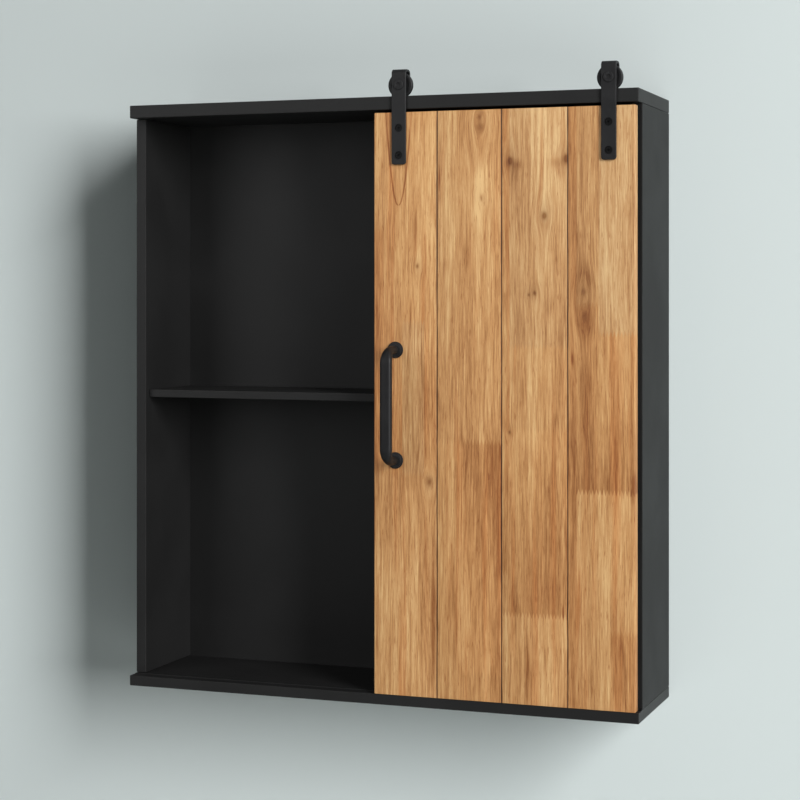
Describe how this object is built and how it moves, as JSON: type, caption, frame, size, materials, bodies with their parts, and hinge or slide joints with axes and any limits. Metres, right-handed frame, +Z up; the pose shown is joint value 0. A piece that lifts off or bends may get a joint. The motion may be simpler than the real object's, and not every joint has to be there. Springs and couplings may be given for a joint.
{
  "type": "hanging wall cabinet",
  "caption": "Wall-hung storage cabinet with open shelving and a plank barn door that slides sideways on roller hangers along its top.",
  "frame": {"origin": "middle of the hanging rail's back face, on the wall plane", "axes": "+Y into the wall, +Z up, +X to the right seen from the front; the front looks along -Y"},
  "size_m": [0.614, 0.1892, 0.716],
  "materials": {
    "black_board": "matte black painted fibreboard",
    "oiled_wood": "honey-brown oiled planks, satin",
    "black_metal": "fine black powder coat",
    "black_nylon": "satin black nylon",
    "zinc_steel": "bright zinc plated"
  },
  "bodies": {
    "cabinet": {"back_panel": "black_board", "bottom_panel": "black_board", "centre_divider": "black_board", "hanging_rail": "black_board", "keyhole_plate_left": "zinc_steel", "keyhole_plate_right": "zinc_steel", "plate_screw_left_lower": "zinc_steel", "plate_screw_left_upper": "zinc_steel", "plate_screw_right_lower": "zinc_steel", "plate_screw_right_upper": "zinc_steel", "screw_bottom_divider": "zinc_steel", "screw_bottom_left_front": "zinc_steel", "screw_bottom_left_rear": "zinc_steel", "screw_bottom_right_front": "zinc_steel", "screw_bottom_right_rear": "zinc_steel", "screw_top_divider": "zinc_steel", "screw_top_left_front": "zinc_steel", "screw_top_left_rear": "zinc_steel", "screw_top_right_front": "zinc_steel", "screw_top_right_rear": "zinc_steel", "shelf_left": "black_board", "shelf_pin_left_inner_front": "zinc_steel", "shelf_pin_left_inner_rear": "zinc_steel", "shelf_pin_left_outer_front": "zinc_steel", "shelf_pin_left_outer_rear": "zinc_steel", "shelf_pin_right_inner_front": "zinc_steel", "shelf_pin_right_inner_rear": "zinc_steel", "shelf_pin_right_outer_front": "zinc_steel", "shelf_pin_right_outer_rear": "zinc_steel", "shelf_right": "black_board", "side_panel_left": "black_board", "side_panel_right": "black_board", "top_panel": "black_board"},
    "door": {"door_plank_1": "oiled_wood", "door_plank_2": "oiled_wood", "door_plank_3": "oiled_wood", "door_plank_4": "oiled_wood", "handle_bar": "black_metal", "handle_rosette_lower": "black_metal", "handle_rosette_upper": "black_metal", "handle_screw_lower": "zinc_steel", "handle_screw_upper": "zinc_steel", "hanger_strap_left": "black_metal", "hanger_strap_right": "black_metal", "roller_bolt_left": "black_metal", "roller_bolt_right": "black_metal", "roller_nut_left": "black_metal", "roller_nut_right": "black_metal", "roller_spacer_left_front": "black_metal", "roller_spacer_left_rear": "black_metal", "roller_spacer_right_front": "black_metal", "roller_spacer_right_rear": "black_metal", "strap_screw_left_lower": "black_metal", "strap_screw_left_upper": "black_metal", "strap_screw_right_lower": "black_metal", "strap_screw_right_upper": "black_metal"},
    "left_roller": {"roller_left": "black_nylon"},
    "right_roller": {"roller_right": "black_nylon"}
  },
  "joints": [
    {"name": "door_slide", "type": "slide", "parent": "cabinet", "child": "door", "axis": [-1, 0, 0], "range_m": [0, 0.3056]},
    {"name": "left_roller_spin", "type": "hinge", "parent": "door", "child": "left_roller", "pos_m": [0.0329, -0.1486, 0.0573], "axis": [0, -1, 0], "range_deg": [-10, 1230]},
    {"name": "right_roller_spin", "type": "hinge", "parent": "door", "child": "right_roller", "pos_m": [0.2744, -0.1486, 0.0573], "axis": [0, -1, 0], "range_deg": [-10, 1230]}
  ],
  "couplings": [
    {"joint": "left_roller_spin", "follows": "door_slide", "rad_per_m": 69.444},
    {"joint": "right_roller_spin", "follows": "door_slide", "rad_per_m": 69.444}
  ]
}
